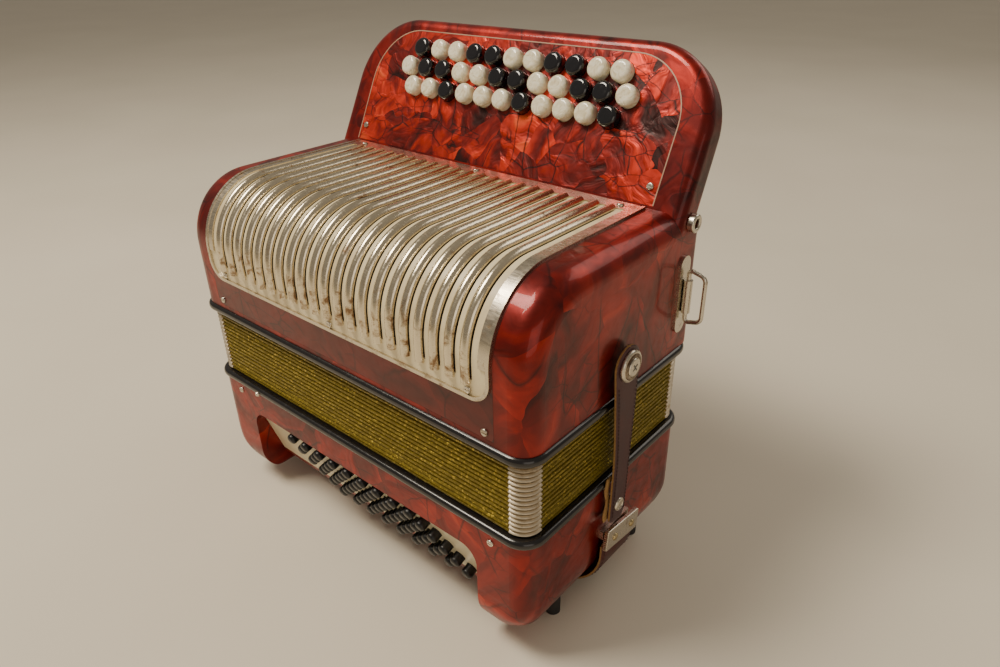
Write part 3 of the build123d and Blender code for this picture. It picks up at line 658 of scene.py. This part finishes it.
def make_strap_snap(body, sign):
    """The snap's cap near a bellows strap's low end."""
    outside = sign * (STRAP_LOW[0] + STRAP_LEATHER_DEPTH - 0.0002)
    cap = turned(
        f"{body}_snap_cap",
        [
            (0.0052, 0.0), (0.0052, 0.0006), (0.0046, 0.0014), (0.0034, 0.0017),
            (0.0030, 0.0013), (0.0012, 0.0014), (0.0, 0.0014),
        ],
        (outside, STRAP_Y, STRAP_BOTTOM + 0.014), (sign, 0, 0), body, NICKEL,
    )


def make_strap_lining(body, sign):
    """Folded tan end of the lining, behind a bellows strap's front edge."""
    fold_x = sign * (STRAP_LOW[0] - 0.0007)
    fold_length = 0.037
    centres, halves = [], []
    for k in range(13):
        z = STRAP_BOTTOM + 0.003 + fold_length * k / 12
        centres.append(Vector((fold_x, STRAP_Y - 0.0098 - 0.0012 * sin(k * 0.9), z)))
        halves.append(0.0024 + 0.0004 * sin(k * 0.7))
    sides = [Vector((0, sign, 0))] * len(centres)
    lining = strip(f"{body}_lining_fold", centres, sides, 0.0010, halves, body, [TAN, TAN], across=4)


for side_name, side_sign in (("right", 1), ("left", -1)):
    strap_body = f"bellows_strap_{side_name}"
    make_strap_leather(strap_body, side_sign)
    make_strap_stitching(strap_body, side_sign)
    make_strap_snap(strap_body, side_sign)
    make_strap_lining(strap_body, side_sign)


def make_hand_strap():
    """Leather hand strap: down one end, under the skids, and up the other end."""
    half_depth = 0.0015
    outer_x = HAND_HIGH[0] - half_depth
    low_z = HAND_LOW[2] + half_depth
    bend = 0.0445
    bend_x = outer_x - bend
    bend_z = low_z + bend
    top_z = HAND_HIGH[2]
    half_side = []
    for k in range(4):
        half_side.append((outer_x, top_z + (bend_z - top_z) * k / 4))
    for k in range(17):
        angle = -pi / 2 * k / 16
        half_side.append((bend_x + bend * cos(angle), bend_z + bend * sin(angle)))
    for k in range(1, 16):
        half_side.append((bend_x * (1 - k / 16), low_z))
    path = half_side + [(0.0, low_z)] + [(-x, z) for x, z in reversed(half_side)]
    centres = [Vector((x, HAND_Y, z)) for x, z in path]
    narrow, wide = 0.0209, (HAND_HIGH[1] - HAND_LOW[1]) / 2
    pad_start, pad_flare = 0.120, 0.030
    halves = []
    for x, z in path:
        t = min(max((pad_start - abs(x)) / pad_flare, 0), 1)
        halves.append(narrow + (wide - narrow) * t * t * (3 - 2 * t))
    sides = [Vector((0, -1, 0))] * len(centres)
    strap = strip(
        "hand_strap_leather", centres, sides, 0.0028, halves,
        "bass", [HAND_LEATHER, TAN], crown=0.0001, across=12,
    )
    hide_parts("bass_strap")
    stitch_step = 0.0036
    edge_margin = 0.003
    for edge, word in ((-1, "front"), (1, "back")):
        line, normals = [], []
        for i in range(len(centres) - 1):
            a, b = centres[i], centres[i + 1]
            along = (b - a).normalized()
            out = Vector((0, 1, 0)).cross(along)
            count = max(1, round((b - a).length / stitch_step))
            for k in range(count):
                t = k / count
                half = halves[i] * (1 - t) + halves[i + 1] * t
                middle = a.lerp(b, t)
                line.append(middle + Vector((0, edge * (half - edge_margin), 0)) - out * 0.0014)
                normals.append(-out)
        seam = stitches(f"hand_strap_stitching_{word}", line, normals, "bass", 0.0024, 0.00028)


make_hand_strap()


# ---------------------------------------------------------------- grille gauze and panel seam
def wrapped_point(x, travel, offset, back_y, top_z):
    """Point on the treble casing's top, bend and front, a distance along from the back edge."""
    bend_y = FRONT_Y + BEND_R
    bend_z = top_z - BEND_R
    flat = back_y - bend_y
    if travel < flat:
        return Vector((x, back_y - travel, top_z + offset))
    travel -= flat
    if travel < BEND_R * pi / 2:
        angle = pi / 2 + travel / BEND_R
        reach = BEND_R + offset
        return Vector((x, bend_y + cos(angle) * reach, bend_z + sin(angle) * reach))
    return Vector((x, FRONT_Y - offset, bend_z - (travel - BEND_R * pi / 2)))


def make_gauze():
    """Dark cloth that is stretched behind the grille's slots, from the top round the bend to the front."""
    width = 0.267
    depth = 0.0034
    margin = 0.002
    low_edge_z = 0.209
    top_z = COVER_HIGH[2]
    back_y = COVER_HIGH[1] - 0.012
    low_travel = (back_y - FRONT_Y - BEND_R) + BEND_R * pi / 2 + (top_z - BEND_R - low_edge_z)
    rows = []
    for i in range(49):
        travel = margin + (low_travel - margin) * i / 48
        row = []
        for j in range(43):
            ripple = 0.0002 * sin(j * 1.7 + i)
            row.append(wrapped_point(-width / 2 + width * j / 42, travel, -depth + ripple, back_y, top_z))
        rows.append(row)
    vertices, faces = band(rows)
    gauze = solid("grille_gauze", vertices, faces, [GAUZE])
    thick = gauze.modifiers.new("cloth", "SOLIDIFY")
    thick.thickness = 0.0004
    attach(gauze, "treble")


make_gauze()


def make_panel_seam():
    """Thin pale inlay along the button panel's edge."""
    origin = Vector((0, COVER_HIGH[1] + 0.0018, COVER_HIGH[2]))
    up = Vector((0, sin(BOARD_LEAN), cos(BOARD_LEAN)))
    out = Vector((0, -cos(BOARD_LEAN), sin(BOARD_LEAN)))
    half = PANEL_HIGH[0]
    top = (PANEL_HIGH[2] - COVER_HIGH[2]) / cos(BOARD_LEAN)
    bottom = 0.002
    radius = 0.044
    line = [(-half, bottom + (top - radius - bottom) * k / 8) for k in range(8)]
    for k in range(15):
        angle = pi / 2 * k / 14
        line.append((-half + radius - radius * cos(angle), top - radius + radius * sin(angle)))
    line += [((-half + radius) * (1 - k / 10), top) for k in range(1, 10)]
    line = line + [(0.0, top)] + [(-x, s) for x, s in reversed(line)]
    rows = []
    for i, (x, s) in enumerate(line):
        ahead, behind = line[min(i + 1, len(line) - 1)], line[max(i - 1, 0)]
        run = hypot(ahead[0] - behind[0], ahead[1] - behind[1])
        nx, ns = -(ahead[1] - behind[1]) / run, (ahead[0] - behind[0]) / run
        row = []
        for reach, lift in ((-0.00045, -0.0003), (-0.0004, 0.00022), (0.0004, 0.00022), (0.00045, -0.0003)):
            row.append(origin + Vector((x + nx * reach, 0, 0)) + up * (s + ns * reach) + out * lift)
        rows.append(row)
    vertices, faces = band(rows, closed=True)
    faces += [(3, 2, 1, 0), tuple(len(vertices) - 4 + k for k in range(4))]
    seam = solid("panel_seam_inlay", vertices, faces, [SEAM])
    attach(seam, "treble")


make_panel_seam()


# ---------------------------------------------------------------- stud and pin details
def make_stud_details(side_name, sign):
    """Dark groove on a strap stud's cap, and a black cross that paints the shade of its cross-shaped recess.
    """
    face_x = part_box("treble_fasteners")[1][0]
    centre = Vector((sign * face_x, STRAP_Y, STUD_Z))
    out = Vector((sign, 0, 0))
    groove = turned(
        f"stud_groove_{side_name}",
        [
            (0.0090, -0.0016), (0.0090, -0.0012), (0.0084, -0.0009),
            (0.0072, -0.0009), (0.0066, -0.0013), (0.0066, -0.0016),
        ],
        centre, out, "treble", DARK_NICKEL, 40,
    )
    # A black cross in the cap's cross-shaped recess: painted shade for the hole.
    half_length, half_width = 0.0028, 0.0005
    vertices, faces = [], []
    for k in range(2):
        angle = radians(35 + 90 * k)
        along = Vector((0, cos(angle), sin(angle)))
        across = Vector((0, -sin(angle), cos(angle)))
        first = len(vertices)
        for lift in (-0.0004, 0.00012 + 0.00004 * k):
            for a, b in ((-1, -1), (1, -1), (1, 1), (-1, 1)):
                vertices.append(centre + along * a * half_length + across * b * half_width + out * lift)
        order = ((4, 5, 6, 7), (0, 1, 5, 4), (1, 2, 6, 5), (2, 3, 7, 6), (3, 0, 4, 7), (3, 2, 1, 0))
        for quad in order:
            faces.append(tuple(first + i for i in (quad if sign > 0 else quad[::-1])))
    painted_recess_shade = solid(f"stud_painted_recess_shade_{side_name}", vertices, faces, [BLACK])
    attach(painted_recess_shade, "treble")


make_stud_details("right", 1)
make_stud_details("left", -1)

# Small bellows pin in the lower black frame
pin = turned(
    "bellows_pin", [(0.0021, 0.0), (0.0021, 0.0012), (0.0014, 0.0021), (0.0, 0.0024)],
    (-0.110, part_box("bass_bellows_frame")[0][1] + 0.0003, 0.1052), (0, -1, 0), "bass", NICKEL, 20,
)


# ---------------------------------------------------------------- clamp details
def make_clamp_details(side_name, sign):
    """Brass screws and a ribbed front edge on a hand strap clamp."""
    low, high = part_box("bass_strap_clamps")
    face_x = high[0]
    middle = Vector((sign * face_x, HAND_Y, (low[2] + high[2]) / 2))
    tilt = radians(-7.4)
    along = Vector((0, cos(tilt), sin(tilt)))
    up = Vector((0, -sin(tilt), cos(tilt)))
    out = Vector((sign, 0, 0))
    for place, word in ((-0.010, "front"), (0.012, "back")):
        centre = middle + along * place - up * 0.0005
        screw = turned(
            f"clamp_screw_{side_name}_{word}",
            [(0.0029, -0.0004), (0.0029, 0.0003), (0.0024, 0.0009), (0.0012, 0.0012), (0.0, 0.0012)],
            centre, out, "bass", BRASS, 24,
        )
    vertices, faces = [], []
    rib_pitch = 0.0017
    rib_corners = (
        (-1, 0, -1), (1, 0, -1), (1, 0, 1), (-1, 0, 1),
        (-1, -1, -0.4), (1, -1, -0.4), (1, -1, 0.4), (-1, -1, 0.4),
    )
    rib_faces = ((0, 1, 2, 3), (7, 6, 5, 4), (0, 4, 5, 1), (1, 5, 6, 2), (2, 6, 7, 3), (3, 7, 4, 0))
    for k in range(9):
        centre = middle - along * 0.0203 + up * (k - 4) * rib_pitch - out * 0.0016
        first = len(vertices)
        for dx, da, du in rib_corners:
            vertices.append(centre + out * dx * 0.0013 + along * da * 0.0011 + up * du * 0.0007)
        faces += [tuple(first + i for i in quad) for quad in rib_faces]
    knurl = solid(f"clamp_knurl_{side_name}", vertices, faces, [NICKEL])
    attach(knurl, "bass")


make_clamp_details("right", 1)
make_clamp_details("left", -1)


# ---------------------------------------------------------------- camera, floor and light
def set_camera():
    """The photograph's view: place, direction, roll and lens, as fitted to the casing's straight edges."""
    place = (0.3746, -0.3691, 0.4401)
    yaw, pitch, roll = radians(-40.99), radians(-28.98), radians(-1.03)
    forward = Vector((sin(yaw) * cos(pitch), cos(yaw) * cos(pitch), sin(pitch)))
    right = Vector((cos(yaw), -sin(yaw), 0))
    up = right.cross(forward)
    turned_right = right * cos(roll) + up * sin(roll)
    turned_up = -right * sin(roll) + up * cos(roll)
    data = bpy.data.cameras.new("camera")
    data.sensor_width = 36.0
    data.lens = 26.78
    data.clip_start = 0.01
    camera = bpy.data.objects.new("camera", data)
    facing = Matrix((turned_right, turned_up, -forward)).transposed()
    camera.matrix_world = Matrix.Translation(place) @ facing.to_4x4()
    bpy.context.scene.collection.objects.link(camera)
    bpy.context.scene.camera = camera


def area_light(name, place, target, size, power, colour):
    """Rectangular light that faces a target."""
    data = bpy.data.lights.new(name, "AREA")
    data.shape = "RECTANGLE"
    data.size, data.size_y = size
    data.energy = power
    data.color = colour
    light = bpy.data.objects.new(name, data)
    light.location = place
    light.rotation_euler = (Vector(target) - Vector(place)).to_track_quat("-Z", "Y").to_euler()
    bpy.context.scene.collection.objects.link(light)


def set_stage():
    """Pale plain floor, even surroundings and three lights."""
    g = Graph("pale table")
    cloud = g.noise(3.0, 3.0)
    colour = g.mix(g.spread(cloud, 0.3, 0.7), (0.76, 0.69, 0.56), (0.80, 0.73, 0.60))
    table = g.out(colour, g.spread(cloud, 0, 1, 0.45, 0.6))
    reach = 14.0
    floor = solid(
        "floor", [(-reach, -reach, 0), (reach, -reach, 0), (reach, reach, 0), (-reach, reach, 0)],
        [(0, 1, 2, 3)], [table],
    )
    world = bpy.data.worlds.new("studio")
    world.use_nodes = True
    background = world.node_tree.nodes["Background"]
    background.inputs["Color"].default_value = (0.88, 0.78, 0.64, 1)
    background.inputs["Strength"].default_value = 0.30
    bpy.context.scene.world = world
    area_light("key", (-0.8, -0.75, 2.0), (0, 0, 0.2), (0.8, 0.8), 44, (1.0, 0.90, 0.75))
    area_light("bounce", (0.5, 1.6, 1.5), (0, 0, 0.25), (1.4, 0.9), 8, (1.0, 0.91, 0.80))
    area_light("fill", (1.7, -1.1, 0.7), (0, 0, 0.2), (1.2, 1.2), 5, (1.0, 0.88, 0.75))


set_camera()
set_stage()
